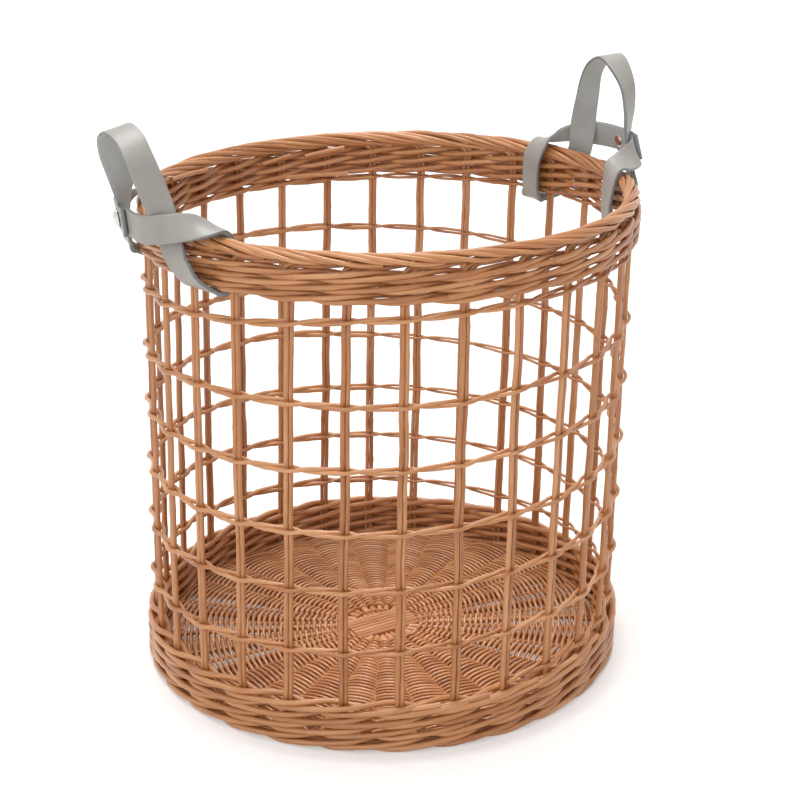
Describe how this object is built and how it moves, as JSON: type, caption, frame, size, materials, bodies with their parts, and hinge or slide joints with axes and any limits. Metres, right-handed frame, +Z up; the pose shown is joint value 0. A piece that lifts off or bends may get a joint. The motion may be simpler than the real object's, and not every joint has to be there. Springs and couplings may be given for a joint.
{
  "type": "storage basket",
  "caption": "Round open-work willow basket with solid woven bands at foot and rim, a rolled border and two knotted leather strap handles closed with rivets",
  "frame": {"origin": "on the floor under the middle of the basket's bounding box, halfway between the middle of the base and the middle of the border, which stands 10 mm out of line with it", "axes": "+Z up; +X towards the right-hand handle and -X towards the left-hand one; +Y completes the right-handed frame"},
  "size_m": [0.454, 0.4054, 0.4858],
  "materials": {
    "willow_uprights": "steamed willow, smooth bark, satin",
    "willow_weavers": "steamed willow, smooth bark, satin",
    "leather_grey": "full grain, light warm grey, rough flesh side inwards, dark painted edges",
    "rivet_nickel": "polished nickel plate",
    "rivet_copper": "copper plate, satin"
  },
  "bodies": {
    "basket": {"stake_pair_01": "willow_uprights", "stake_pair_02": "willow_uprights", "stake_pair_03": "willow_uprights", "stake_pair_04": "willow_uprights", "stake_pair_05": "willow_uprights", "stake_pair_06": "willow_uprights", "stake_pair_07": "willow_uprights", "stake_pair_08": "willow_uprights", "stake_pair_09": "willow_uprights", "stake_pair_10": "willow_uprights", "stake_pair_11": "willow_uprights", "stake_pair_12": "willow_uprights", "stake_pair_13": "willow_uprights", "stake_pair_14": "willow_uprights", "stake_pair_15": "willow_uprights", "stake_pair_16": "willow_uprights", "stake_pair_17": "willow_uprights", "stake_pair_18": "willow_uprights", "stake_pair_19": "willow_uprights", "stake_pair_20": "willow_uprights", "stake_pair_21": "willow_uprights", "stake_pair_22": "willow_uprights", "stake_pair_23": "willow_uprights", "stake_pair_24": "willow_uprights", "stake_pair_25": "willow_uprights", "stake_pair_26": "willow_uprights", "stake_pair_27": "willow_uprights", "stake_pair_28": "willow_uprights", "base_sticks": "willow_uprights", "base_weave": "willow_weavers", "base_wale_round_1": "willow_weavers", "base_wale_round_2": "willow_weavers", "base_wale_round_3": "willow_weavers", "base_wale_round_4": "willow_weavers", "fitching_row_1_strand_a": "willow_weavers", "fitching_row_1_strand_b": "willow_weavers", "fitching_row_2_strand_a": "willow_weavers", "fitching_row_2_strand_b": "willow_weavers", "fitching_row_3_strand_a": "willow_weavers", "fitching_row_3_strand_b": "willow_weavers", "fitching_row_4_strand_a": "willow_weavers", "fitching_row_4_strand_b": "willow_weavers", "fitching_row_5_strand_a": "willow_weavers", "fitching_row_5_strand_b": "willow_weavers", "fitching_row_6_strand_a": "willow_weavers", "fitching_row_6_strand_b": "willow_weavers", "fitching_row_7_strand_a": "willow_weavers", "fitching_row_7_strand_b": "willow_weavers", "rim_wale_round_1": "willow_weavers", "rim_wale_round_2": "willow_weavers", "rim_wale_round_3": "willow_weavers"},
    "handle_left": {"handle_left_strap": "leather_grey", "handle_left_rivet_cap": "rivet_nickel", "handle_left_rivet_screw": "rivet_copper"},
    "handle_right": {"handle_right_strap": "leather_grey", "handle_right_rivet_cap": "rivet_nickel", "handle_right_rivet_screw": "rivet_copper"}
  },
  "joints": [
    {"name": "handle_left_swing", "type": "hinge", "parent": "basket", "child": "handle_left", "pos_m": [-0.18859, -0.00235, 0.39223], "axis": [0, 1, 0], "range_deg": [0, 6]},
    {"name": "handle_right_swing", "type": "hinge", "parent": "basket", "child": "handle_right", "pos_m": [0.19741, -0.00235, 0.39223], "axis": [0, 1, 0], "range_deg": [-6, 0]}
  ]
}
